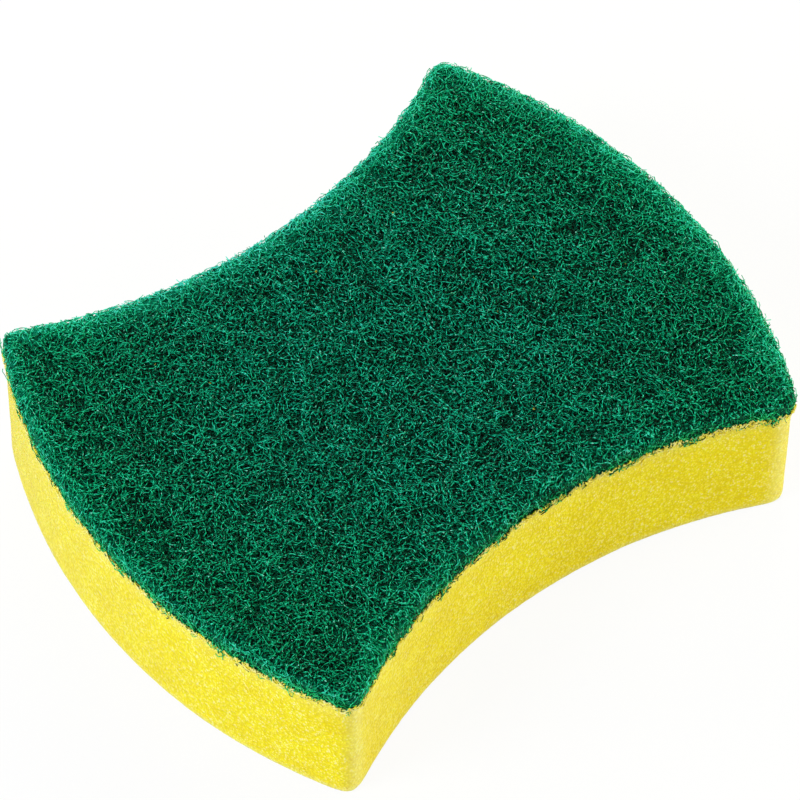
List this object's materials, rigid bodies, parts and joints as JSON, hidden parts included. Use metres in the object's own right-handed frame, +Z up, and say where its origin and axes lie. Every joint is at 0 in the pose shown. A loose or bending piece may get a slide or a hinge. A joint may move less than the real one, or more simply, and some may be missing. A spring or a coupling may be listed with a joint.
{
  "type": "cleaning sponge",
  "caption": "Waisted cleaning sponge: soft cellular foam block with hollow sides and bowed ends, topped by a thin scouring pad of bonded fibre.",
  "frame": {"origin": "middle of the foam's underside", "axes": "+X along the length, from one bowed end to the other; +Y across the waist, from one hollow side to the other; +Z up, from the foam to the scouring pad"},
  "size_m": [0.11, 0.0858, 0.028],
  "materials": {
    "foam": "yellow flexible polyurethane foam, fine open cells, matt",
    "fibre": "green bonded non-woven fibre web with a slight resin sheen"
  },
  "bodies": {
    "root": {"foam_block": "foam", "scouring_pad": "fibre"}
  },
  "joints": []
}
